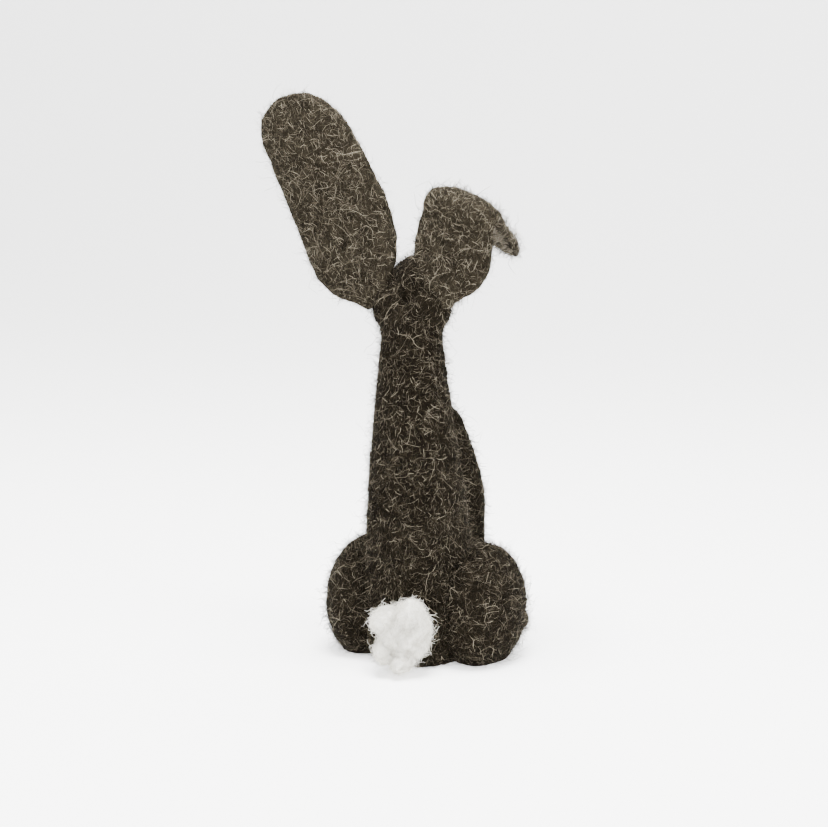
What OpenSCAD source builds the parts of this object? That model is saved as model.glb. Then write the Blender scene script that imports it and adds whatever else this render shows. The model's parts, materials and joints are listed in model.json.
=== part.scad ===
// Needle-felted wool hare that sits upright, about 200 mm tall to the tip of its raised ear.
// A bent steel wire runs through the wool, so the neck, both ears and their folds hold a pose.
// The hare faces -Y, its left side is +X, and it stands on the plane z = 0.

/* [Torso] */
// Height of the shoulders, where the torso wool ends and the neck starts
torso_h = 97; // [85:1:115]
// Width of the torso at the belly
torso_w = 37; // [32:0.5:44]
// Depth of the torso at the belly
torso_d = 41; // [36:0.5:48]
// Thickness of the dark coat over the white core wool
coat_t = 4.5; // [3:0.25:6]

/* [Neck and head] */
// Width of the neck at its narrowest
neck_w = 19.6; // [17:0.2:24]
// Height from the shoulders to the bend under the head
neck_h = 19; // [17:0.5:26]
// Width of the skull between the eyes
head_w = 25; // [22:0.5:30]
// Length of the skull, front to back
head_l = 28; // [25:0.5:34]
// Height of the skull
head_h = 24; // [22:0.5:29]
// Diameter of the muzzle
muzzle_d = 13; // [11:0.5:16]
// Diameter of the nose
nose_d = 4; // [3:0.1:5]
// Diameter of one bead eye
eye_d = 4.6; // [3.5:0.1:6]

/* [Ears] */
// Length of an ear laid flat
ear_l = 82; // [70:1:98]
// Width of an ear at its broadest
ear_w = 34; // [29:0.5:40]
// Width of an ear where it leaves the head
ear_root_w = 12; // [11:0.5:15]
// Thickness of the dark wool of an ear
ear_back_t = 3.5; // [2.5:0.25:4.5]
// Thickness of the lighter lining of an ear
ear_lining_t = 2; // [1.5:0.25:3]
// Outward lean of the upright left ear, in degrees
left_lean = 26; // [18:1:32]
// Outward lean of the folded right ear, in degrees
right_lean = 19; // [14:1:26]
// Distance from the ear's root to its fold
fold_at = 37; // [32:1:42]
// How far the right ear is folded over, in degrees
right_fold = 112; // [90:1:118]

/* [Legs and tail] */
// Width of one haunch
haunch_w = 31; // [26:0.5:36]
// Length of one haunch, front to back
haunch_l = 44; // [38:0.5:50]
// Height of one haunch
haunch_h = 41; // [36:0.5:47]
// Length of one hind foot
foot_l = 42; // [36:1:50]
// Thickness of one foreleg
foreleg_d = 10.8; // [9:0.2:13]
// Width of the white tail tuft
tail_w = 24; // [20:0.5:29]

/* [Wire and gaps] */
// Diameter of the body wire
wire_d = 2; // [1.4:0.1:2.6]
// Diameter of the ear wires
ear_wire_d = 1.2; // [0.8:0.1:1.6]
// Gap between wool on the two sides of a bend
bend_gap = 0.5; // [0.4:0.1:1]

/* [Hidden] */

dark_wool = [0.24, 0.21, 0.18];
grey_wool = [0.42, 0.38, 0.34];
core_wool = [0.93, 0.91, 0.86];
white_wool = [0.97, 0.96, 0.94];
steel = [0.62, 0.63, 0.65];

LEFT = 1;
RIGHT = -1;
sides = 24;
ring_steps = 3;
ball_fn = 24;
big = 400;

// Centre line of the body, from the floor to the bend under the head
neck_y = 2;
shoulder_y = 1;
belly_y = -6.5;
nod_z = torso_h + neck_h;
shoulder_rx = neck_w / 2 + 2.5;
shoulder_ry = neck_w / 2 + 2;

// Each station of the torso is [height, y of the centre, half width, half depth]
torso_stations = [
    [-0.12 * torso_h, belly_y, 0.66 * torso_w / 2, 0.66 * torso_d / 2],
    [-0.03 * torso_h, belly_y, 0.86 * torso_w / 2, 0.86 * torso_d / 2],
    [0.07 * torso_h, belly_y, 0.98 * torso_w / 2, 1.00 * torso_d / 2],
    [0.20 * torso_h, belly_y, 1.02 * torso_w / 2, 1.02 * torso_d / 2],
    [0.42 * torso_h, belly_y + 1, 0.99 * torso_w / 2, 0.98 * torso_d / 2],
    [0.67 * torso_h, -2, 0.88 * torso_w / 2, 0.83 * torso_d / 2],
    [0.90 * torso_h, 0.5, 0.75 * torso_w / 2, 0.64 * torso_d / 2],
    [torso_h - bend_gap / 2, shoulder_y, shoulder_rx, shoulder_ry],
    [1.1 * torso_h, shoulder_y + 0.5, 0.9 * shoulder_rx, 0.9 * shoulder_ry]
];
neck_stations = [
    [torso_h - 12, shoulder_y - 0.5, shoulder_rx + 1.5, shoulder_ry + 1.5],
    [torso_h + bend_gap / 2, shoulder_y, shoulder_rx, shoulder_ry],
    [nod_z - 6, neck_y - 0.3, neck_w / 2 + 0.2, neck_w / 2 - 0.1],
    [nod_z, neck_y, neck_w / 2 - 0.4, neck_w / 2 - 0.4],
    [nod_z + 12, neck_y, neck_w / 2 - 1, neck_w / 2 - 1]
];
core_foot = 8;
core_neck = 12;

// Head, measured from the bend under it
head_y = -8;
head_z = nod_z + 14;
nape_r = 8;
nape_x = 5;
crown_r = 8;
crown_z = nod_z + 17;
muzzle_y = head_y - head_l / 2 - 3;
muzzle_z = head_z + 1.5;
eye_x = head_w / 2 - 1.6;
eye_y = head_y - head_l * 0.22;
eye_z = head_z + 3;
socket_r = neck_w / 2 + 0.1;
socket_top = 4.7;
head_core_d = 15;
head_wire_l = 7;

// Ears: each is built flat, with its root at the origin, its back towards +Y and its tip up
left_ear_x = 11.5;
right_ear_x = 8.2;
right_turn = 12;
ear_y = 3.5;
ear_z = nod_z + 10;
tip_r = 0.35 * ear_w;
belly_r = ear_w / 2;
belly_at = 0.41 * ear_l;
root_r = ear_root_w / 2;
root_pivot = 2.5;
ear_t = ear_back_t + ear_lining_t;
fold_skew = 6;
swing_back = 35;
swing_forward = 12;
swing_reach = 60;
hairpin_w = 7.6;
hairpin_end = 9;

// Legs
haunch_x = 19.5;
haunch_y = -12;
foot_w = 12;
foot_h = 9;
paw_x = 9.5;
foot_x = max(haunch_x + 1, paw_x + (foreleg_d + foot_w) / 2 + 0.2);
shoulder = [9.5, -9, torso_h - 13];
elbow = [12.8, -19, 0.62 * torso_h];
wrist = [12, -24.5, 0.41 * torso_h];
paw = [paw_x, -36.5, foreleg_d / 2 - 0.4];
tail_x = -3;
tail_y = 19.5;
tail_d = 21;
tail_h = 25;

function bend_through(a, b, c, d, u) =
    0.5 * (2 * b + (c - a) * u + (2 * a - 5 * b + 4 * c - d) * u * u
    + (3 * b - a - 3 * c + d) * u * u * u);

// Smooth rings through the stations; the first and last only steer the curve
function rings(stations) = concat(
    [for (i = [1 : len(stations) - 3]) for (j = [0 : ring_steps - 1])
        bend_through(stations[i - 1], stations[i], stations[i + 1], stations[i + 2], j / ring_steps)],
    [stations[len(stations) - 2]]
);

function x_of(station) = len(station) > 4 ? station[4] : 0;

module tapered_body(stations, inset = 0) {
    r = rings(stations);
    n = len(r);
    points = [
        for (s = r) for (k = [0 : sides - 1])
            [x_of(s) + (s[2] - inset) * cos(360 * k / sides),
             s[1] + (s[3] - inset) * sin(360 * k / sides),
             s[0]]
    ];
    walls = [
        for (i = [0 : n - 2]) for (k = [0 : sides - 1])
            [i * sides + k, (i + 1) * sides + k, (i + 1) * sides + (k + 1) % sides, i * sides + (k + 1) % sides]
    ];
    bottom = [[for (k = [0 : sides - 1]) k]];
    top = [[for (k = [0 : sides - 1]) n * sides - 1 - k]];
    polyhedron(points, concat(walls, bottom, top), convexity = 4);
}

module above_floor() {
    difference() {
        children();
        translate([-big / 2, -big / 2, -big]) cube([big, big, big]);
    }
}

module wool_ball(size, at) {
    translate(at) hull() scale(size / 2) sphere(1, $fn = ball_fn);
}

module wire(from, to, d) {
    run = to - from;
    flat = norm([run[0], run[1]]);
    translate(from)
        rotate([0, atan2(flat, run[2]), atan2(run[1], run[0])])
            cylinder(h = norm(run), d = d, $fn = 24);
}

// ---- torso ----

module torso_form() {
    above_floor() tapered_body(torso_stations);
}

module core_form() {
    intersection() {
        tapered_body(torso_stations, coat_t);
        translate([-big / 2, -big / 2, core_foot]) cube([big, big, torso_h - core_neck - core_foot]);
    }
}

module body_coat() {
    color(dark_wool) difference() {
        torso_form();
        core_form();
        spine_form();
    }
}

module spine_form() {
    wire([0, shoulder_y, core_foot + 4], [0, shoulder_y, torso_h - bend_gap / 2 - 0.5], wire_d);
}

module body_core() {
    color(core_wool) difference() {
        core_form();
        spine_form();
    }
}

module spine_wire() {
    color(steel) spine_form();
}

module haunch_form(side) {
    above_floor()
        wool_ball([haunch_w, haunch_l, 1.2 * haunch_h], [side * haunch_x, haunch_y, 0.4 * haunch_h]);
}

module haunch(side) {
    color(dark_wool) difference() {
        haunch_form(side);
        torso_form();
    }
}

module hind_foot(side) {
    heel = [side * foot_x, haunch_y - haunch_l * 0.2, foot_h / 2 - 0.3];
    toe = [side * foot_x, heel[1] - foot_l + foot_w, foot_h / 2 - 0.3];
    color(dark_wool) difference() {
        above_floor() hull() {
            wool_ball([foot_w, foot_w, foot_h], heel);
            wool_ball([foot_w, foot_w, foot_h], toe);
        }
        haunch_form(side);
    }
}

// The leg is widest at the shoulder and at the paw, which is cut off by the floor
module foreleg_form(side) {
    r = foreleg_d / 2;
    above_floor() tapered_body([
        [-20, paw[1], r, r, side * paw[0]],
        [-3, paw[1], r, r, side * paw[0]],
        [paw[2] + 2, paw[1] + 0.5, r, r, side * paw[0]],
        [wrist[2], wrist[1], r - 0.2, r - 0.2, side * wrist[0]],
        [elbow[2], elbow[1], r + 0.3, r + 0.3, side * elbow[0]],
        [shoulder[2], shoulder[1], r, r, side * shoulder[0]],
        [shoulder[2] + r, shoulder[1] + 2, 0.35 * r, 0.35 * r, side * (shoulder[0] - 0.5)],
        [shoulder[2] + 2 * r, shoulder[1] + 3, 0.1, 0.1, side * (shoulder[0] - 1)]
    ]);
}

module foreleg_wire_form(side) {
    wire([side * paw[0], paw[1], paw[2]], [side * elbow[0], elbow[1], elbow[2]], 0.7 * wire_d);
}

module foreleg(side) {
    color(dark_wool) difference() {
        foreleg_form(side);
        torso_form();
        haunch_form(side);
        foreleg_wire_form(side);
    }
}

module foreleg_wire(side) {
    color(steel) foreleg_wire_form(side);
}

module tail() {
    color(white_wool) difference() {
        above_floor() wool_ball([tail_w, tail_d, tail_h], [tail_x, tail_y, tail_h / 2 - 0.3]);
        torso_form();
    }
}

// ---- neck ----

module neck_form() {
    difference() {
        union() {
            tapered_body(neck_stations);
            translate([0, neck_y, nod_z]) sphere(r = socket_r, $fn = 48);
        }
        translate([-big / 2, -big / 2, nod_z + socket_top]) cube([big, big, big]);
    }
}

module neck_wire_form() {
    wire([0, shoulder_y, torso_h + bend_gap / 2 + 0.5], [0, neck_y, nod_z + socket_top - 1], wire_d);
}

module neck_coat() {
    color(dark_wool) difference() {
        neck_form();
        neck_wire_form();
    }
}

module neck_wire() {
    color(steel) neck_wire_form();
}

// ---- head ----

module head_form() {
    hull() {
        wool_ball([head_w, head_l, head_h], [0, head_y, head_z]);
        for (s = [LEFT, RIGHT]) translate([s * nape_x, 2.5, nod_z + 9]) sphere(r = nape_r, $fn = ball_fn);
        translate([0, 0.5, crown_z]) sphere(r = crown_r, $fn = ball_fn);
    }
}

module head_core_form() {
    translate([0, head_y - 1, head_z + 1]) sphere(d = head_core_d, $fn = 40);
}

module head_wire_form() {
    from = [0, neck_y - 3, nod_z + socket_r + bend_gap + 0.5];
    wire(from, from + [0, 0, head_wire_l], wire_d);
}

module head_coat() {
    color(dark_wool) difference() {
        head_form();
        translate([0, neck_y, nod_z]) sphere(r = socket_r + bend_gap, $fn = 48);
        translate([-big / 2, -big / 2, nod_z - big + 1.5]) cube([big, big, big]);
        head_core_form();
        head_wire_form();
        for (s = [LEFT, RIGHT]) eye_form(s);
        swept_ear(LEFT, left_lean);
        swept_ear(RIGHT, right_lean);
    }
}

module head_core() {
    color(core_wool) difference() {
        head_core_form();
        head_wire_form();
    }
}

module head_wire() {
    color(steel) head_wire_form();
}

module muzzle_form() {
    wool_ball([muzzle_d, muzzle_d * 1.6, muzzle_d * 0.92], [0, muzzle_y, muzzle_z]);
}

module nose_form() {
    translate([0, muzzle_y - muzzle_d * 0.76, muzzle_z + 1.2]) sphere(d = nose_d, $fn = 32);
}

module muzzle() {
    color(grey_wool) difference() {
        muzzle_form();
        head_form();
        nose_form();
    }
}

module nose() {
    color("black") nose_form();
}

module eye_form(side) {
    translate([side * eye_x, eye_y, eye_z]) sphere(d = eye_d, $fn = 40);
}

module eye(side) {
    color("black") eye_form(side);
}

// ---- ears ----

module ear_outline(edge = 0) {
    hull() {
        translate([0, root_r - root_pivot]) circle(r = root_r - edge, $fn = 40);
        translate([0, belly_at - root_pivot]) circle(r = belly_r - edge, $fn = 64);
        translate([0, ear_l - tip_r - root_pivot]) circle(r = tip_r - edge, $fn = 56);
    }
}

// Half of the ear's plane, below or above the slanting fold line
module fold_half(skew, upper) {
    shift = upper ? bend_gap / 2 : -big - bend_gap / 2;
    translate([0, fold_at - root_pivot]) rotate(skew) translate([-big / 2, shift]) square([big, big]);
}

module ear_layer(edge, front, thick, skew, upper) {
    translate([0, front + thick, 0]) rotate([90, 0, 0]) linear_extrude(thick) intersection() {
        ear_outline(edge);
        fold_half(skew, upper);
    }
}

module ear_hairpin(skew, upper) {
    bow_at = ear_l - root_pivot - hairpin_end - hairpin_w / 2;
    y = ear_back_t / 2;
    module loop() {
        for (x = [-hairpin_w / 2, hairpin_w / 2])
            translate([x, y, root_pivot + 1.5]) cylinder(h = bow_at - root_pivot - 1.5, d = ear_wire_d, $fn = 24);
        translate([0, y, bow_at]) rotate([90, 0, 0]) rotate_extrude(angle = 180, $fn = 48)
            translate([hairpin_w / 2, 0]) circle(d = ear_wire_d, $fn = 24);
    }
    shift = upper ? bend_gap / 2 + 0.4 : -big - bend_gap / 2 - 0.4;
    intersection() {
        loop();
        translate([0, 0, fold_at - root_pivot]) rotate([0, -skew, 0])
            translate([-big / 2, -big / 2, shift]) cube([big, big, big]);
    }
}

module at_ear(side, lean) {
    x = side == LEFT ? left_ear_x : -right_ear_x;
    turn = side == LEFT ? 0 : -right_turn;
    translate([x, ear_y, ear_z]) rotate([0, side * lean, 0]) rotate([0, 0, turn]) children();
}

// Turns the tip about the fold line, which lies in the lining's face
module folded(skew, angle) {
    translate([0, -ear_lining_t, fold_at - root_pivot]) rotate([0, -skew, 0]) rotate([angle, 0, 0])
        rotate([0, skew, 0]) translate([0, ear_lining_t, -(fold_at - root_pivot)]) children();
}

// Space that the root of an ear passes through as it swings forward and back
module swing_fan() {
    front = ear_lining_t + bend_gap;
    back = ear_back_t + bend_gap;
    low_front = -front * [cos(swing_forward), sin(swing_forward)];
    low_back = back * [cos(swing_back), -sin(swing_back)];
    circle(r = norm([root_pivot, ear_back_t]) + bend_gap, $fn = 40);
    polygon([
        [0, 0],
        low_front,
        low_front + swing_reach * [-sin(swing_forward), cos(swing_forward)],
        low_back + swing_reach * [sin(swing_back), cos(swing_back)],
        low_back
    ]);
}

module swept_ear(side, lean) {
    at_ear(side, lean) intersection() {
        rotate([90, 0, 90]) translate([0, 0, -big / 2]) linear_extrude(big) swing_fan();
        rotate([90, 0, 0]) translate([0, 0, -big / 2]) linear_extrude(big)
            union() {
                scale([1, cos(swing_back)]) ear_outline(-2 * bend_gap);
                translate([0, root_r - root_pivot - ear_back_t * sin(swing_back)])
                    circle(r = root_r + 2 * bend_gap, $fn = 40);
            }
    }
}

module ear_back(side, lean, skew) {
    color(dark_wool) at_ear(side, lean) difference() {
        ear_layer(0, 0, ear_back_t, skew, false);
        ear_hairpin(skew, false);
    }
}

module ear_lining(side, lean, skew) {
    color(grey_wool) at_ear(side, lean) ear_layer(2.5, -ear_lining_t, ear_lining_t, skew, false);
}

module ear_wire(side, lean, skew) {
    color(steel) at_ear(side, lean) ear_hairpin(skew, false);
}

module ear_tip_back(side, lean, skew, fold) {
    color(dark_wool) at_ear(side, lean) folded(skew, fold) difference() {
        ear_layer(0, 0, ear_back_t, skew, true);
        ear_hairpin(skew, true);
    }
}

module ear_tip_lining(side, lean, skew, fold) {
    color(grey_wool) at_ear(side, lean) folded(skew, fold)
        ear_layer(2.5, -ear_lining_t, ear_lining_t, skew, true);
}

module ear_tip_wire(side, lean, skew, fold) {
    color(steel) at_ear(side, lean) folded(skew, fold) ear_hairpin(skew, true);
}

body_coat();
body_core();
spine_wire();
haunch(LEFT);  // left_haunch
haunch(RIGHT);  // right_haunch
hind_foot(LEFT);  // left_hind_foot
hind_foot(RIGHT);  // right_hind_foot
foreleg(LEFT);  // left_foreleg
foreleg(RIGHT);  // right_foreleg
foreleg_wire(LEFT);  // left_foreleg_wire
foreleg_wire(RIGHT);  // right_foreleg_wire
tail();
neck_coat();
neck_wire();
head_coat();
head_core();
head_wire();
muzzle();
nose();
eye(LEFT);  // left_eye
eye(RIGHT);  // right_eye
ear_back(LEFT, left_lean, 0);  // left_ear_back
ear_lining(LEFT, left_lean, 0);  // left_ear_lining
ear_wire(LEFT, left_lean, 0);  // left_ear_wire
ear_tip_back(LEFT, left_lean, 0, 0);  // left_ear_tip_back
ear_tip_lining(LEFT, left_lean, 0, 0);  // left_ear_tip_lining
ear_tip_wire(LEFT, left_lean, 0, 0);  // left_ear_tip_wire
ear_back(RIGHT, right_lean, fold_skew);  // right_ear_back
ear_lining(RIGHT, right_lean, fold_skew);  // right_ear_lining
ear_wire(RIGHT, right_lean, fold_skew);  // right_ear_wire
ear_tip_back(RIGHT, right_lean, fold_skew, right_fold);  // right_ear_tip_back
ear_tip_lining(RIGHT, right_lean, fold_skew, right_fold);  // right_ear_tip_lining
ear_tip_wire(RIGHT, right_lean, fold_skew, right_fold);  // right_ear_tip_wire
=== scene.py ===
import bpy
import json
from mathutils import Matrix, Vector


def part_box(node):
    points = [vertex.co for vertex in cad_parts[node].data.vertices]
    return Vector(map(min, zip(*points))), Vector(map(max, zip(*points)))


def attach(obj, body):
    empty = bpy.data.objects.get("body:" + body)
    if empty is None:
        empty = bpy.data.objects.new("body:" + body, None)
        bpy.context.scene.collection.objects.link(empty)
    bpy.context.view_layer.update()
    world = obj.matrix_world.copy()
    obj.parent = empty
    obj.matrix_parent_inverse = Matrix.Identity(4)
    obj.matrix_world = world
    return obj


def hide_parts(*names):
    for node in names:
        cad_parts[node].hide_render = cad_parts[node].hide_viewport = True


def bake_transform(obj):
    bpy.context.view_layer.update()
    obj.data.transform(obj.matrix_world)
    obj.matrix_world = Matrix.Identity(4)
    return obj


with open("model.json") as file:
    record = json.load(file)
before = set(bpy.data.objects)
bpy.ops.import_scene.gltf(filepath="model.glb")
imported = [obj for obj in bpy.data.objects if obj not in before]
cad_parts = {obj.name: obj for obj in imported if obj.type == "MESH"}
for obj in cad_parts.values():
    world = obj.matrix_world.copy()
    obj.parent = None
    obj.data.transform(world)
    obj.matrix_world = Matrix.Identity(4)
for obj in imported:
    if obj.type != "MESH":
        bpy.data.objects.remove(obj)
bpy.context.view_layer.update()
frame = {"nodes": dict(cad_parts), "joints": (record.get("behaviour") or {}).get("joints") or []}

import json
import math

import bmesh
import bpy
import numpy as np
from mathutils import Matrix, Vector, noise
from mathutils.bvhtree import BVHTree

# ---- Camera --------------------------------------------------------------------------------
# It stands behind the hare and to one side of its spine, level with the ears,
# far enough off that the figure keeps its real proportions.
camera_from = Vector((-0.222, 0.578, 0.1825))
camera_to = Vector((0.0, 0.0, 0.088))
camera_data = bpy.data.cameras.new("camera")
camera_data.sensor_width = 36
camera_data.lens = 78.3
camera = bpy.data.objects.new("camera", camera_data)
bpy.context.scene.collection.objects.link(camera)
camera.location = camera_from
camera.rotation_euler = (camera_to - camera_from).to_track_quat("-Z", "Y").to_euler()
bpy.context.scene.camera = camera

# ---- Wire armature -------------------------------------------------------------------------
# One length of 2 mm annealed steel wire up the spine, thinner wires in the forelegs and a
# hairpin of 1.2 mm wire in each ear. It is drawn wire, so its fine lines run along it.


def new_material(name):
    material = bpy.data.materials.new(name)
    material.use_nodes = True
    tree = material.node_tree
    return material, tree, tree.nodes["Principled BSDF"]


def node(tree, kind, **settings):
    made = tree.nodes.new(kind)
    for key, value in settings.items():
        if key in made.inputs:
            made.inputs[key].default_value = value
        else:
            setattr(made, key, value)
    return made


def drawn_wire():
    material, tree, shader = new_material("drawn_wire")
    shader.inputs["Metallic"].default_value = 1.0
    shader.inputs["Roughness"].default_value = 0.38
    place = node(tree, "ShaderNodeTexCoord")
    stretch = node(tree, "ShaderNodeMapping", Scale=(4000, 4000, 150))
    grain = node(tree, "ShaderNodeTexNoise", Scale=1.0, Detail=3.0)
    tint = node(tree, "ShaderNodeValToRGB")
    tint.color_ramp.elements[0].color = (0.32, 0.33, 0.34, 1)
    tint.color_ramp.elements[1].color = (0.58, 0.59, 0.60, 1)
    tree.links.new(place.outputs["Object"], stretch.inputs["Vector"])
    tree.links.new(stretch.outputs["Vector"], grain.inputs["Vector"])
    tree.links.new(grain.outputs["Fac"], tint.inputs["Fac"])
    tree.links.new(tint.outputs["Color"], shader.inputs["Base Color"])
    return material


def give(obj, material):
    obj.data.materials.clear()
    obj.data.materials.append(material)


wire_finish = drawn_wire()
for name, cad_node in frame["nodes"].items():
    if name.endswith("wire"):
        give(cad_node, wire_finish)

# ---- Core wool -----------------------------------------------------------------------------
# Cheap white carded wool, wound round the wire and needled firm. The coat covers all of it.


def felt(name, dark, light, fibre=0.00011, lump=0.0045, grain=(1, 1, 0.45), bump=0.6, sheen=0.004):
    """Matted wool: fine crossing fibres, soft patches where the fleece was lighter, low sheen."""
    material, tree, shader = new_material(name)
    shader.inputs["Roughness"].default_value = 0.95
    shader.inputs["Specular IOR Level"].default_value = 0.012
    shader.inputs["Sheen Weight"].default_value = sheen
    shader.inputs["Sheen Roughness"].default_value = 0.5
    place = node(tree, "ShaderNodeTexCoord")
    along = node(tree, "ShaderNodeMapping", Scale=grain)
    patches = node(tree, "ShaderNodeTexNoise", Scale=1 / lump, Detail=3.0, Roughness=0.6)
    strands = node(tree, "ShaderNodeTexNoise", Scale=0.28 / fibre, Detail=5.0, Roughness=0.75)
    strands.inputs["Distortion"].default_value = 1.6
    weigh = node(tree, "ShaderNodeMath", operation="MULTIPLY_ADD")
    weigh.inputs[1].default_value = 0.30
    tint = node(tree, "ShaderNodeValToRGB")
    tint.color_ramp.elements[0].position = 0.52
    tint.color_ramp.elements[0].color = (*dark, 1)
    tint.color_ramp.elements[1].position = 0.82
    tint.color_ramp.elements[1].color = (*light, 1)
    relief = node(tree, "ShaderNodeBump", Strength=bump, Distance=fibre * 2)
    link = tree.links.new
    link(place.outputs["Object"], patches.inputs["Vector"])
    link(place.outputs["Object"], along.inputs["Vector"])
    link(along.outputs["Vector"], strands.inputs["Vector"])
    link(patches.outputs["Fac"], weigh.inputs[0])
    link(strands.outputs["Fac"], weigh.inputs[2])
    link(weigh.outputs["Value"], tint.inputs["Fac"])
    link(tint.outputs["Color"], shader.inputs["Base Color"])
    link(strands.outputs["Fac"], relief.inputs["Height"])
    link(relief.outputs["Normal"], shader.inputs["Normal"])
    return material


core_felt = felt("core_felt", (0.62, 0.59, 0.53), (0.82, 0.80, 0.75))
for name in ("body_core", "head_core"):
    give(frame["nodes"][name], core_felt)

# ---- Coat of the body and head ---------------------------------------------------------------
# Natural dark fleece laid over the core from the floor to the crown and needled down hard.
# The neck bends, so the coat is made in one, then parted inside the neck between its two bends.
MM = 0.001
coat_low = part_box("body_coat")
shoulders_at = coat_low[1].z
torso_wide = (coat_low[1].x - coat_low[0].x) / 2
torso_deep = (coat_low[1].y - coat_low[0].y) / 2
belly_y = (coat_low[1].y + coat_low[0].y) / 2
joint_at = {j["name"]: Vector(j["pos_m"]) for j in frame["joints"]}
joint_axis = {j["name"]: Vector(j["axis"]).normalized() for j in frame["joints"]}
nod_at = joint_at["head_nod"]
turn_at = joint_at["head_turn"]
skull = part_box("head_coat")
muzzle_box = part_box("muzzle")
rng = np.random.default_rng(20)


def mesh_object(name, made):
    data = bpy.data.meshes.new(name)
    made.to_mesh(data)
    made.free()
    obj = bpy.data.objects.new(name, data)
    bpy.context.scene.collection.objects.link(obj)
    return obj


def ball(made, centre, radii):
    """Adds an egg of wool. radii are half its width, depth and height."""
    place = Matrix.Translation(Vector(centre)) @ Matrix.Diagonal((*radii, 1))
    bmesh.ops.create_icosphere(made, subdivisions=4, radius=1, matrix=place)


def tapered(made, stations, sides=40, steps=5):
    """Adds a closed form through rings given as (z, x, y, half width, half depth)."""
    stations = np.array(stations, float)
    ends = [2 * stations[0] - stations[1], 2 * stations[-1] - stations[-2]]
    s = np.vstack([ends[0], stations, ends[1]])
    rows = []
    for i in range(1, len(s) - 2):
        for u in np.arange(steps) / steps:
            a, b, c, d = s[i - 1], s[i], s[i + 1], s[i + 2]
            bent = 2 * b + (c - a) * u + (2 * a - 5 * b + 4 * c - d) * u**2
            rows.append(0.5 * (bent + (3 * b - a - 3 * c + d) * u**3))
    rows.append(stations[-1])
    rings = []
    for z, x, y, wide, deep in rows:
        ring = []
        for k in range(sides):
            a = 2 * math.pi * k / sides
            ring.append(made.verts.new((x + wide * math.cos(a), y + deep * math.sin(a), z)))
        rings.append(ring)
    for low, high in zip(rings, rings[1:]):
        for k in range(sides):
            n = (k + 1) % sides
            made.faces.new((low[k], low[n], high[n], high[k]))
    made.faces.new(reversed(rings[0]))
    made.faces.new(rings[-1])


def felted(name, made, grain=0.9 * MM, smooth=12):
    """Needles overlapping forms into one closed mass with soft creases where they meet."""
    obj = mesh_object(name, made)
    remesh = obj.modifiers.new("mass", "REMESH")
    remesh.mode = "VOXEL"
    remesh.voxel_size = grain
    soften = obj.modifiers.new("soften", "SMOOTH")
    soften.iterations = smooth
    bpy.context.view_layer.update()
    shown = obj.evaluated_get(bpy.context.evaluated_depsgraph_get())
    data = bpy.data.meshes.new_from_object(shown)
    obj.modifiers.clear()
    obj.data = data
    return obj


def lumpy(obj, height=0.45 * MM, width=4.5 * MM, seed=0.0, floor=0.0):
    """Uneven needling: soft lumps a few millimetres across and small dimples between them."""
    shift = Vector((seed, 2.3 * seed, -seed))
    at = [(v.co.copy(), v.normal.copy()) for v in obj.data.vertices]
    moved = []
    for co, normal in at:
        big = noise.noise(co / width + shift)
        small = noise.noise(co / (0.32 * width) - shift)
        co = co + normal * height * (big + 0.45 * small)
        moved += [co.x, co.y, max(co.z, floor)]
    obj.data.vertices.foreach_set("co", moved)
    obj.data.polygons.foreach_set("use_smooth", [True] * len(obj.data.polygons))
    obj.data.update()
    return obj


def cut(obj, name, at, along, keep_above):
    """A closed copy of the part of obj on one side of a plane."""
    made = bmesh.new()
    made.from_mesh(obj.data)
    geom = made.verts[:] + made.edges[:] + made.faces[:]
    sliced = bmesh.ops.bisect_plane(
        made, geom=geom, plane_co=at, plane_no=along,
        clear_inner=keep_above, clear_outer=not keep_above,
    )
    rim = [e for e in sliced["geom_cut"] if isinstance(e, bmesh.types.BMEdge)]
    bmesh.ops.holes_fill(made, edges=rim, sides=0)
    for edge in rim:
        edge.smooth = False
    part = mesh_object(name, made)
    for face in part.data.polygons:
        face.use_smooth = True
    return part


def discard(obj):
    bpy.data.objects.remove(obj)


body = bmesh.new()
tapered(body, [
    (0.0, 0, belly_y, 0.86 * torso_wide, 0.86 * torso_deep),
    (0.08 * shoulders_at, 0, belly_y, 0.97 * torso_wide, 0.98 * torso_deep),
    (0.22 * shoulders_at, 0, belly_y, torso_wide, torso_deep),
    (0.42 * shoulders_at, 0, belly_y + 1 * MM, 0.97 * torso_wide, 0.96 * torso_deep),
    (0.67 * shoulders_at, 0, -2 * MM, 0.86 * torso_wide, 0.81 * torso_deep),
    (0.90 * shoulders_at, 0, 0.5 * MM, 0.73 * torso_wide, 0.63 * torso_deep),
    (shoulders_at + 3 * MM, 0, turn_at.y + 0.3 * MM, 12.4 * MM, 11.4 * MM),
    (nod_at.z - 3 * MM, 0, nod_at.y, 10.8 * MM, 9.9 * MM),
    (nod_at.z + 5 * MM, 0, nod_at.y, 11.0 * MM, 9.6 * MM),
    (nod_at.z + 10 * MM, 0, nod_at.y, 9 * MM, 8 * MM),
])
head_mid = Vector((0, (skull[0].y + 8 * MM), (skull[0].z + skull[1].z) / 2 + 1 * MM))
ball(body, head_mid + Vector((0, 6 * MM, 0)), (12.2 * MM, 14.5 * MM, 11.8 * MM))
ball(body, (0, nod_at.y - 2 * MM, nod_at.z + 16.5 * MM), (6.5 * MM, 7.5 * MM, 8.5 * MM))
for side in (-1, 1):
    ball(body, (side * 7 * MM, nod_at.y + 0.5 * MM, nod_at.z + 9 * MM), (7 * MM, 7.2 * MM, 8 * MM))
    ball(body, (side * 4.6 * MM, muzzle_box[0].y + 13 * MM, muzzle_box[0].z + 4.6 * MM),
         (5.4 * MM, 9 * MM, 5.2 * MM))
muzzle_mid = (muzzle_box[0] + muzzle_box[1]) / 2
ball(body, (0, muzzle_mid.y + 1.5 * MM, muzzle_mid.z), (6.0 * MM, 10 * MM, 5.8 * MM))
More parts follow.
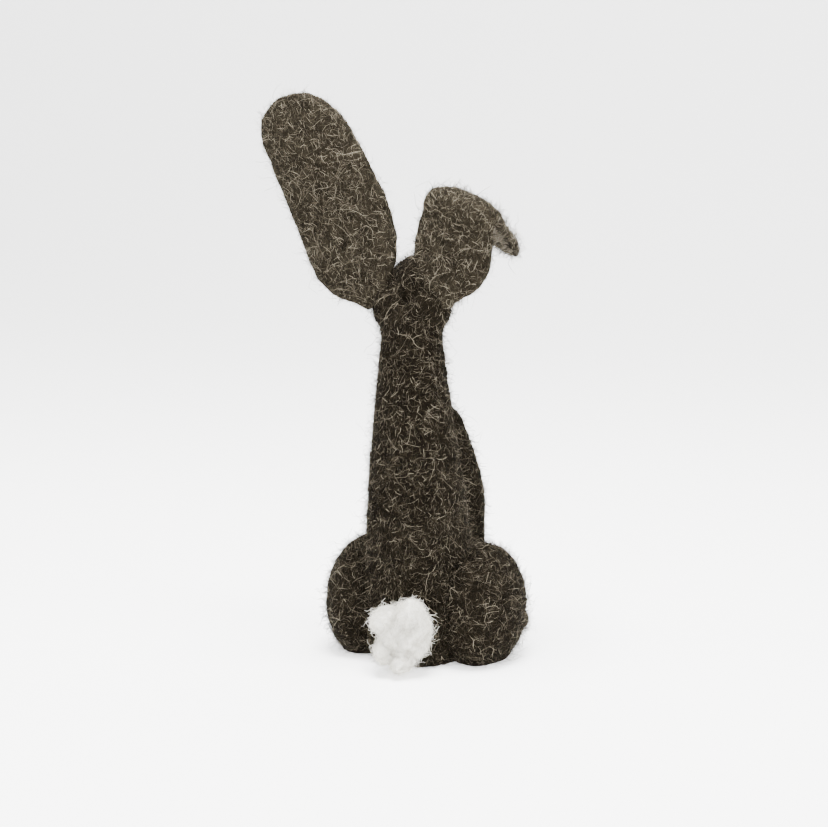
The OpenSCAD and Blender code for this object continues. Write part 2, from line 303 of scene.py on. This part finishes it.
whole_coat = lumpy(felted("whole_coat", body), seed=1.0)
part_at = Vector((0, 0, nod_at.z - 7 * MM))
up = Vector((0, 0, 1))
body_wool = cut(whole_coat, "body_wool", part_at, up, keep_above=False)
head_wool = cut(whole_coat, "head_wool", part_at, up, keep_above=True)
discard(whole_coat)
dark_felt = felt("dark_felt", (0.0012, 0.0009, 0.0006), (0.013, 0.0105, 0.0068))
give(body_wool, dark_felt)
give(head_wool, dark_felt)
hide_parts("body_coat")
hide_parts("head_coat", "neck_coat", "muzzle")
turn_zone = (turn_at - Vector((0, 0, 7 * MM)), turn_at + Vector((0, 0, 7 * MM)))
nod_zone = (nod_at - Vector((0, 0, 5 * MM)), nod_at + Vector((0, 0, 6 * MM)))
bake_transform(body_wool)
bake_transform(head_wool)

# The top layer: single fibres that the needle didn't catch. Most lie on the felt and cross
# each other, some loop clear of it, and a few long ones stand off as a halo.
FIBRE_TONES = {
    "black": (0.0020, 0.0015, 0.0009),
    "brown": (0.0080, 0.0062, 0.0036),
    "grey": (0.040, 0.0335, 0.0225),
    "light": (0.125, 0.108, 0.080),
    "pale": (0.27, 0.24, 0.18),
}


def fibre_finish(tone):
    name = tone + "_fibre"
    if name in bpy.data.materials:
        return bpy.data.materials[name]
    material, tree, shader = new_material(name)
    shader.inputs["Base Color"].default_value = (*FIBRE_TONES[tone], 1)
    shader.inputs["Roughness"].default_value = 0.6
    shader.inputs["Specular IOR Level"].default_value = 0.025
    return material


def tubes(lines, radii, lifts):
    """Closed three-sided tubes along lines, which is (fibres, points, 3), as one list of faces."""
    count, points, _ = lines.shape
    run = np.gradient(lines, axis=1)
    run /= np.linalg.norm(run, axis=2, keepdims=True) + 1e-12
    side = np.cross(run, lifts[:, None, :])
    side /= np.linalg.norm(side, axis=2, keepdims=True) + 1e-12
    out = np.cross(side, run)
    taper = np.sin(np.linspace(0.14, 0.86, points) * math.pi) ** 0.5
    thick = radii[:, None] * taper[None, :]
    corners = []
    for k in range(3):
        a = 2 * math.pi * k / 3
        corners.append(lines + (side * math.cos(a) + out * math.sin(a)) * thick[..., None])
    verts = np.stack(corners, axis=2).reshape(-1, 3)
    base = (np.arange(count) * points * 3)[:, None, None]
    ring = (np.arange(points - 1) * 3)[None, :, None]
    k = np.arange(3)[None, None, :]
    n = (k + 1) % 3
    quads = np.stack(
        [base + ring + k, base + ring + n, base + ring + 3 + n, base + ring + 3 + k], axis=3
    ).reshape(-1, 4)
    start = np.arange(count) * points * 3
    caps = np.concatenate([
        np.stack([start + 2, start + 1, start], axis=1),
        np.stack([start, start + 1, start + 2], axis=1) + (points - 1) * 3,
    ])
    return verts, quads, caps


def fibre_mesh(name, groups):
    """One mesh from several groups of tubes."""
    verts, quads, caps, first = [], [], [], 0
    for v, q, c in groups:
        verts.append(v)
        quads.append(q + first)
        caps.append(c + first)
        first += len(v)
    verts, quads, caps = (np.concatenate(x) for x in (verts, quads, caps))
    data = bpy.data.meshes.new(name)
    data.vertices.add(len(verts))
    data.vertices.foreach_set("co", verts.astype(np.float32).ravel())
    data.loops.add(quads.size + caps.size)
    corners = np.concatenate([quads.ravel(), caps.ravel()]).astype(np.int32)
    data.loops.foreach_set("vertex_index", corners)
    data.polygons.add(len(quads) + len(caps))
    starts = [np.arange(len(quads)) * 4, quads.size + np.arange(len(caps)) * 3]
    data.polygons.foreach_set("loop_start", np.concatenate(starts).astype(np.int32))
    data.update(calc_edges=True)
    data.polygons.foreach_set("use_smooth", np.ones(len(data.polygons), bool))
    obj = bpy.data.objects.new(name, data)
    bpy.context.scene.collection.objects.link(obj)
    return obj


def unit(v):
    return v / (np.linalg.norm(v, axis=-1, keepdims=True) + 1e-18)


def triangles(obj):
    """The corners of a mesh's triangles, their normals and their areas."""
    data = obj.data
    data.calc_loop_triangles()
    tri = np.zeros(len(data.loop_triangles) * 3, np.int32)
    data.loop_triangles.foreach_get("vertices", tri)
    co = np.zeros(len(data.vertices) * 3, np.float32)
    data.vertices.foreach_get("co", co)
    corner = co.reshape(-1, 3)[tri.reshape(-1, 3)].astype(float)
    normal = np.cross(corner[:, 1] - corner[:, 0], corner[:, 2] - corner[:, 0])
    return corner, unit(normal), np.linalg.norm(normal, axis=1) / 2


def comb(skin, count, length, flow, stray, rise, curl, points, free):
    """Walks fibres over the skin from random roots and returns their lines and normals.
    flow gives the lie of the wool at a point, stray how far a fibre turns from it. A free
    fibre leaves the skin and ends in the air; any other arches and comes back to it."""
    tree, (corner, facing, area) = skin
    pick = rng.choice(len(area), size=count, p=area / area.sum())
    a, b = np.sqrt(rng.random(count)), rng.random(count)
    mix = np.stack([1 - a, a * (1 - b), a * b], axis=1)
    at, normal = (corner[pick] * mix[..., None]).sum(axis=1), facing[pick].copy()
    run = flow(at) + rng.normal(0, stray, (count, 3))
    run = unit(run - (run * normal).sum(1, keepdims=True) * normal)
    step = length * rng.uniform(0.5, 1.4, count) / (points - 1)
    turn = rng.normal(0, curl, count)
    wobble = rng.normal(0, 0.7 * curl, (count, points))
    height = rise * np.minimum(rng.gamma(1.3, 0.6, count), 2.0)
    arch = np.linspace(0, 1, points) ** 1.4 if free else np.sin(np.linspace(0, math.pi, points))
    lines = np.zeros((count, points, 3))
    for k in range(points):
        lift = -0.10 * MM + height * arch[k]
        lines[:, k] = at + normal * lift[:, None]
        angle = ((turn + wobble[:, k]) * step / MM)[:, None]
        run = run * np.cos(angle) + np.cross(normal, run) * np.sin(angle)
        at = at + run * step[:, None]
        for i in range(count):
            at[i], normal[i], _, _ = tree.find_nearest(at[i])
        run = unit(run - (run * normal).sum(1, keepdims=True) * normal)
    lines[..., 2] = np.maximum(lines[..., 2], 0.1 * MM)
    return lines, normal


def downwards(at):
    return np.tile([0.0, 0.0, -1.0], (len(at), 1))


# Each kind is (share, length, how it strays, how high it rises, curl per mm, points along it,
# whether its end is free)
SHORT_WOOL = (
    (0.640, 2.6 * MM, 0.7, 0.18 * MM, 0.22, 4, False),
    (0.310, 2.4 * MM, 1.6, 1.60 * MM, 0.35, 4, True),
    (0.030, 10 * MM, 0.8, 0.40 * MM, 0.16, 9, False),
    (0.020, 8 * MM, 2.0, 3.20 * MM, 0.28, 7, True),
)


def wool_over(skin, bodies, density, tones, flow=downwards, zone=None, kinds=SHORT_WOOL):
    """Lays each tone of fibre over a skin. density is fibres per square centimetre."""
    faces = triangles(skin)
    near = (BVHTree.FromObject(skin, bpy.context.evaluated_depsgraph_get()), faces)
    square_cm = faces[2].sum() * 1e4
    for tone, share in tones.items():
        groups = []
        for part, length, stray, rise, curl, points, free in kinds:
            count = max(1, int(square_cm * density * share * part * amount))
            lines, lifts = comb(near, count, length, flow, stray, rise, curl, points, free)
            radii = (0.044 if free else 0.032) * MM * rng.uniform(0.7, 1.6, count)
            groups.append(tubes(lines, radii, lifts))
        fuzz = fibre_mesh(f"{skin.name}_{tone}", groups)
        give(fuzz, fibre_finish(tone))
        if zone is None:
            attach(fuzz, bodies)
        else:
            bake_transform(fuzz)


body_tones = {"black": 0.28, "brown": 0.26, "grey": 0.27, "light": 0.14, "pale": 0.05}
amount = 1.0
wool_over(body_wool, ("torso", "neck"), 420, body_tones, zone=turn_zone)
wool_over(head_wool, ("neck", "head"), 420, body_tones, zone=nod_zone)

# ---- Haunches --------------------------------------------------------------------------------
# Two balls of the same fleece as the coat, wound in a spiral and needled firm.
# Each is then needled to its flank, low down, where it takes the weight.


def joined_wool(name, made, seed, height=0.45 * MM, width=4.5 * MM, grain=0.8 * MM):
    """A firm piece of wool felted from made, pressed flat where it stands on the floor."""
    piece = lumpy(felted(name, made, grain=grain, smooth=6), seed=seed, height=height, width=width)
    return piece


def swirl(centre, axis):
    """The lie of wool wound round an axis through a centre."""

    def lie(at):
        return unit(np.cross(np.array(axis), at - np.array(centre)))

    return lie


for side, name in ((1, "left_haunch"), (-1, "right_haunch")):
    low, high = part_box(name)
    made = bmesh.new()
    half = (0.54 * (high.x - low.x), 0.51 * (high.y - low.y), 0.56 * high.z)
    middle = ((low.x + high.x) / 2, (low.y + high.y) / 2, high.z - half[2])
    ball(made, middle, half)
    haunch = joined_wool(name + "_wool", made, seed=3.0 + side)
    give(haunch, dark_felt)
    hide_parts(name)
    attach(haunch, "torso")
    wound = swirl(middle, (side * 0.5, 0.8, 0.25))
    wool_over(haunch, "torso", 420, body_tones, flow=wound)

# ---- Hind feet -------------------------------------------------------------------------------
# Sausages of the same dark fleece, needled flat underneath.
# They are tucked under the haunches and reach out in front.
for side, name in ((1, "left_hind_foot"), (-1, "right_hind_foot")):
    low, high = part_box(name)
    made = bmesh.new()
    half = ((high.x - low.x) / 2, (high.y - low.y) / 2, (high.z - low.z) / 2 + 0.3 * MM)
    middle = Vector(((low.x + high.x) / 2, (low.y + high.y) / 2, half[2] - 0.3 * MM))
    ball(made, middle + Vector((0, 4 * MM, 0)), (0.98 * half[0], 0.8 * half[1], 0.95 * half[2]))
    ball(made, middle - Vector((0, half[1] - 9 * MM, 0)), (half[0], 8.5 * MM, half[2]))
    foot = joined_wool(name + "_wool", made, seed=7.0 + side)
    give(foot, dark_felt)
    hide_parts(name)
    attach(foot, "torso")
    wool_over(foot, "torso", 320, body_tones,
              flow=lambda at: np.tile([0.0, -1.0, 0.0], (len(at), 1)))

# ---- Forelegs --------------------------------------------------------------------------------
# Dark wool wound tightly round a 1.4 mm wire and needled to the chest at the shoulder.
# Each is bent a little, so that its paw stands flat on the floor.
for side, name in ((1, "left_foreleg"), (-1, "right_foreleg")):
    low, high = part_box(name)
    half_leg = 5.4 * MM
    middle = (low.x + high.x) / 2
    made = bmesh.new()
    tapered(made, [
        (0.0, middle - side * 1.6 * MM, low.y + half_leg, half_leg, half_leg + 0.5 * MM),
        (0.06 * high.z, middle - side * 1.5 * MM, low.y + half_leg, 1.02 * half_leg, half_leg + 0.8 * MM),
        (0.14 * high.z, middle - side * 1.0 * MM, low.y + half_leg + 2 * MM, 0.98 * half_leg, half_leg),
        (0.44 * high.z, middle + side * 0.9 * MM, low.y + half_leg + 12 * MM,
         0.96 * half_leg, 0.96 * half_leg),
        (0.67 * high.z, middle + side * 1.7 * MM, low.y + half_leg + 17.5 * MM,
         1.06 * half_leg, 1.1 * half_leg),
        (0.93 * high.z, middle - side * 1.6 * MM, low.y + half_leg + 27.5 * MM, half_leg, half_leg),
        (high.z, middle - side * 2.1 * MM, low.y + half_leg + 29 * MM, 0.5 * half_leg, 0.5 * half_leg),
    ])
    leg = joined_wool(name + "_wool", made, seed=11.0 + side)
    give(leg, dark_felt)
    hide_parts(name)
    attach(leg, "torso")
    wool_over(leg, "torso", 380, body_tones)

# ---- Tail ------------------------------------------------------------------------------------
# A loose tuft of white combed wool. Only its root is needled down,
# so its locks curl apart.
tail_low, tail_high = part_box("tail")
tail_deep = (tail_high.y - tail_low.y) / 2
tail_mid = (tail_low + tail_high) / 2
made = bmesh.new()
for across_mm, back_mm, up_mm, wide_mm, high_mm in (
    (-2.2, 0.0, 3.0, 7.4, 10.2),
    (-3.6, 1.0, 9.0, 4.2, 5.2),
    (5.6, 1.2, 6.0, 5.0, 4.6),
    (4.4, 1.6, -3.2, 4.4, 5.4),
    (1.0, 1.4, 1.0, 6.6, 7.0),
    (-1.0, 2.4, -6.6, 3.4, 4.2),
):
    ball(made, tail_mid + Vector((across_mm, back_mm - 2.2, up_mm)) * MM,
         (wide_mm * MM, 0.78 * tail_deep, high_mm * MM))
tail = joined_wool("tail_wool", made, seed=17.0, height=1.1 * MM, width=4 * MM)
white_felt = felt("white_felt", (0.62, 0.60, 0.54), (0.90, 0.89, 0.84), bump=0.5)
give(tail, white_felt)
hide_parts("tail")
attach(tail, "torso")
FIBRE_TONES["white"] = (0.86, 0.84, 0.77)
FIBRE_TONES["cream"] = (0.60, 0.57, 0.49)
LOOSE_WOOL = (
    (0.56, 4.5 * MM, 0.6, 0.50 * MM, 0.22, 6, False),
    (0.34, 3.2 * MM, 0.9, 1.10 * MM, 0.40, 6, True),
    (0.10, 4.6 * MM, 1.0, 1.90 * MM, 0.45, 7, True),
)
wool_over(tail, "torso", 520, {"white": 0.7, "cream": 0.3}, kinds=LOOSE_WOOL,
          flow=lambda at: np.tile([0.35, 0.0, -1.0], (len(at), 1)))

# ---- Nose and eyes ---------------------------------------------------------------------------
# The nose is a pinch of black wool needled to the end of the muzzle.
# The eyes are black glass beads sewn into sockets pressed in the head.
nose_low, nose_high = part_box("nose")
made = bmesh.new()
nose_half = (nose_high - nose_low) / 2
ball(made, (nose_low + nose_high) / 2, (1.15 * nose_half.x, 0.9 * nose_half.y, 0.85 * nose_half.z))
nose = joined_wool("nose_wool", made, seed=19.0, height=0.2 * MM, width=1.5 * MM,
                   grain=0.3 * MM)
black_felt = felt("black_felt", (0.004, 0.004, 0.004), (0.02, 0.018, 0.016))
give(nose, black_felt)
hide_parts("nose")
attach(nose, "head")


def bead_glass():
    material, tree, shader = new_material("bead_glass")
    shader.inputs["Base Color"].default_value = (0.006, 0.005, 0.005, 1)
    shader.inputs["Roughness"].default_value = 0.16
    shader.inputs["Specular IOR Level"].default_value = 0.16
    place = node(tree, "ShaderNodeTexCoord")
    wavy = node(tree, "ShaderNodeTexNoise", Scale=500.0, Detail=1.0)
    relief = node(tree, "ShaderNodeBump", Strength=0.05, Distance=0.00003)
    tree.links.new(place.outputs["Object"], wavy.inputs["Vector"])
    tree.links.new(wavy.outputs["Fac"], relief.inputs["Height"])
    tree.links.new(relief.outputs["Normal"], shader.inputs["Normal"])
    return material


glass = bead_glass()
for name in ("left_eye", "right_eye"):
    low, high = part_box(name)
    made = bmesh.new()
    bmesh.ops.create_uvsphere(
        made, u_segments=32, v_segments=20, radius=(high.x - low.x) / 2,
        matrix=Matrix.Translation((low + high) / 2),
    )
    eye = mesh_object(name + "_bead", made)
    for face in eye.data.polygons:
        face.use_smooth = True
    give(eye, glass)
    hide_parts(name)
    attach(eye, "head")

# ---- Ears ------------------------------------------------------------------------------------
# Each ear is a flat blade of fleece needled over a hairpin of wire, with a lighter lining of
# the same wool needled on its front. The right one is bent over forward at its middle.
EAR_LONG = 82 * MM
EAR_ROOT = 2.5 * MM
EAR_BACK = 3.5 * MM
LINING = 2 * MM
EAR_PARTED = 18 * MM
# Half widths in mm at shares of the length
EAR_WIDTHS = (
    (0.0, 2.5), (0.02, 3.5), (0.05, 5.2), (0.10, 8.8), (0.16, 13.3), (0.25, 16.8), (0.36, 17.8),
    (0.50, 17.7),
    (0.62, 17.3), (0.74, 16.5), (0.84, 15.2), (0.91, 13.3), (0.96, 10.2), (0.985, 6.6), (1.0, 0.0),
)
FOLD = math.radians(112)
FOLD_HALF = 6 * MM


def ear_frame(side):
    """Root, and unit vectors across, through (to the back) and along an ear at rest."""
    root = joint_at[side + "_ear_bend"]
    across = joint_axis[side + "_ear_bend"]
    fold = joint_at[side + "_ear_fold"] - root
    tilt = math.asin(LINING / fold.length)
    rough = fold.normalized()
    back = rough.cross(across).normalized()
    along = rough * math.cos(tilt) + back * math.sin(tilt)
    return root, across, along.cross(across).normalized(), along.normalized()


def half_width(u, outer):
    """Half the width of an ear at a share u of its length. The right one is narrower at its fold."""
    shares, widths = zip(*EAR_WIDTHS)
    waist = 0.0 if outer > 0 else 0.08 * math.exp(-(((u - 0.52) / 0.2) ** 2))
    return float(np.interp(u, shares, widths)) * MM * (1 - waist)


def blade(made, thin_front, thin_back, edge, outer, low_u=0.0, high_u=1.0, rows=90, sides=48):
    """A leaf of felt in the ear's own frame: x across, y through, z along from the root."""
    rings = []
    for i in range(rows + 1):
        t = i / rows
        u = low_u + (high_u - low_u) * t
        wide = max(half_width(u, outer) - edge, 0.25 * MM)
        fall = math.sqrt(max(0.0, 1 - ((2 * t - 1) ** 8)))
        z = -EAR_ROOT + u * EAR_LONG
        ring = []
        for k in range(sides):
            a = 2 * math.pi * k / sides
            x = wide * math.copysign(abs(math.cos(a)) ** 0.8, math.cos(a))
            if outer < 0 and x < 0:
                x *= 1 - 0.25 * math.exp(-(((u - 0.46) / 0.28) ** 2)) - 0.32 * max(0, (u - 0.72) / 0.28)
            if outer > 0:
                x += 2.4 * MM * max(0, (u - 0.78) / 0.22)
            full = abs(math.sin(a)) ** 0.75 * max(0.25, fall)
            y = full * (thin_back if math.sin(a) > 0 else -thin_front)
            x += outer * 1.4 * MM * math.exp(-(((u - 0.2) / 0.16) ** 2))
            ring.append(made.verts.new((x, y, z)))
        rings.append(ring)
    for low, high in zip(rings, rings[1:]):
        for k in range(sides):
            n = (k + 1) % sides
            made.faces.new((low[k], low[n], high[n], high[k]))
    made.faces.new(reversed(rings[0]))
    made.faces.new(rings[-1])


def cup(obj, depth=2.2 * MM):
    """Rolls the blade's edges a little forward, so the back is rounded."""
    for v in obj.data.vertices:
        v.co.y -= depth * (v.co.x / (16 * MM)) ** 2 * min(1, max(0, v.co.z / (20 * MM)))
        v.co.y += 0.6 * MM * math.sin(v.co.z / (9 * MM)) * (v.co.x / (16 * MM))


def stand(obj, side):
    """Sets a flat ear piece on the head."""
    root, across, back, along = ear_frame(side)
    basis = Matrix((across, back, along)).transposed().to_4x4()
    obj.data.transform(Matrix.Translation(root) @ basis)
    obj.data.update()


def fold_zone(side, half):
    """The points between which an ear bends at its fold, measured on the rest shape."""
    along = ear_frame(side)[3]
    centre = joint_at[side + "_ear_fold"]
    flap = along
    if side == "right":
        flap = Matrix.Rotation(FOLD, 3, joint_axis["right_ear_fold"]) @ along
    run = (along + flap).normalized()
    reach = run * half * max(0.3, run.dot(along))
    return centre - reach, centre + reach


def bend_over(obj, half):
    """Folds a standing ear forward about its fold axis, in a smooth curve."""
    along = ear_frame("right")[3]
    centre = joint_at["right_ear_fold"]
    axis = joint_axis["right_ear_fold"]
    for v in obj.data.vertices:
        t = ((v.co - centre).dot(along) + half) / (2 * half)
        t = min(1.0, max(0.0, t))
        turn = Matrix.Rotation(FOLD * t * t * (3 - 2 * t), 3, axis)
        v.co = centre + turn @ (v.co - centre)
    obj.data.update()


ear_tones = {"black": 0.18, "brown": 0.19, "grey": 0.31, "light": 0.20, "pale": 0.12}
lining_tones = {"brown": 0.12, "grey": 0.33, "light": 0.25, "pale": 0.30}
ear_felt = felt("ear_felt", (0.0022, 0.0017, 0.0011), (0.034, 0.0285, 0.0195))
lining_felt = felt("lining_felt", (0.030, 0.026, 0.020), (0.20, 0.18, 0.145))
for side in ("left", "right"):
    root, across, back, along = ear_frame(side)
    outer = 1 if side == "left" else -1
    made = bmesh.new()
    blade(made, thin_front=LINING * 0.55, thin_back=EAR_BACK, edge=0.0, outer=outer)
    whole_ear = felted(side + "_whole_ear", made, grain=0.6 * MM, smooth=4)
    cup(whole_ear)
    lumpy(whole_ear, height=0.45 * MM, width=5 * MM, seed=23.0 if side == "left" else 29.0)
    stand(whole_ear, side)
    made = bmesh.new()
    blade(made, thin_front=LINING, thin_back=-0.3 * MM, edge=3.0 * MM, outer=outer,
          low_u=0.14, high_u=0.965)
    whole_lining = felted(side + "_whole_lining", made, grain=0.45 * MM, smooth=3)
    cup(whole_lining)
    lumpy(whole_lining, height=0.3 * MM, width=4 * MM, seed=31.0)
    stand(whole_lining, side)
    split = root + along * EAR_PARTED
    for whole, kind, tones in (
        (whole_ear, "ear_wool", ear_tones), (whole_lining, "ear_lining_wool", lining_tones),
    ):
        for part, above in (("base", False), ("tip", True)):
            piece = cut(whole, f"{side}_{kind}_{part}", split, along, keep_above=above)
            if side == "right" and above:
                bend_over(piece, FOLD_HALF)
            give(piece, ear_felt if kind == "ear_wool" else lining_felt)
            if above:
                bodies, zone = (side + "_ear", side + "_ear_tip"), fold_zone(side, FOLD_HALF)
            else:
                bodies, zone = ("head", side + "_ear"), (root - along * 2 * MM, root + along * 11 * MM)
            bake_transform(piece)

            def lie(at, root=root, along=along):
                return np.tile(np.array(along), (len(at), 1))

            wool_over(piece, bodies, 420 if kind == "ear_wool" else 320, tones, flow=lie, zone=zone)
        discard(whole)
    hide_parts(side + "_ear_back")
    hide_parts(side + "_ear_tip_back")
    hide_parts(side + "_ear_lining")
    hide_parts(side + "_ear_tip_lining")

# ---- Floor and light -------------------------------------------------------------------------
# A white sweep, level under the hare and curved up behind it, with soft lamps on both.
SWEEP_BACK = -0.9
SWEEP_BEND = 0.6
made = bmesh.new()
profile = [(2.5, 0.0), (0.0, 0.0), (SWEEP_BACK, 0.0)]
for k in range(1, 17):
    a = math.pi / 2 * k / 16
    profile.append((SWEEP_BACK - SWEEP_BEND * math.sin(a), SWEEP_BEND * (1 - math.cos(a))))
profile.append((SWEEP_BACK - SWEEP_BEND, 3.0))
strips = [[made.verts.new((x, y, z)) for x in (-3.0, 3.0)] for y, z in profile]
for near, far in zip(strips, strips[1:]):
    made.faces.new((near[0], far[0], far[1], near[1]))
sweep = mesh_object("sweep", made)
for face in sweep.data.polygons:
    face.use_smooth = True
sweep_paint, _, sweep_shader = new_material("sweep_paint")
sweep_shader.inputs["Base Color"].default_value = (0.88, 0.88, 0.875, 1)
sweep_shader.inputs["Roughness"].default_value = 0.9
sweep_shader.inputs["Emission Color"].default_value = (1.0, 0.997, 0.99, 1)
sweep_shader.inputs["Emission Strength"].default_value = 1.9
give(sweep, sweep_paint)


def lamp(name, at, towards, size, power):
    data = bpy.data.lights.new(name, "AREA")
    data.size = size
    data.energy = power
    obj = bpy.data.objects.new(name, data)
    obj.location = at
    obj.rotation_euler = (Vector(towards) - Vector(at)).to_track_quat("-Z", "Y").to_euler()
    bpy.context.scene.collection.objects.link(obj)


lamp("top_light", (-0.05, 0.12, 0.9), (0, 0, 0.08), 0.4, 44)
lamp("left_light", (0.9, 0.5, 0.6), (0, 0, 0.1), 0.5, 5)
lamp("right_light", (-0.9, 0.3, 0.6), (0, 0, 0.1), 0.5, 8)
world = bpy.data.worlds.new("room")
world.use_nodes = True
world.node_tree.nodes["Background"].inputs["Color"].default_value = (0.97, 0.98, 1.0, 1)
world.node_tree.nodes["Background"].inputs["Strength"].default_value = 0.7
bpy.context.scene.world = world
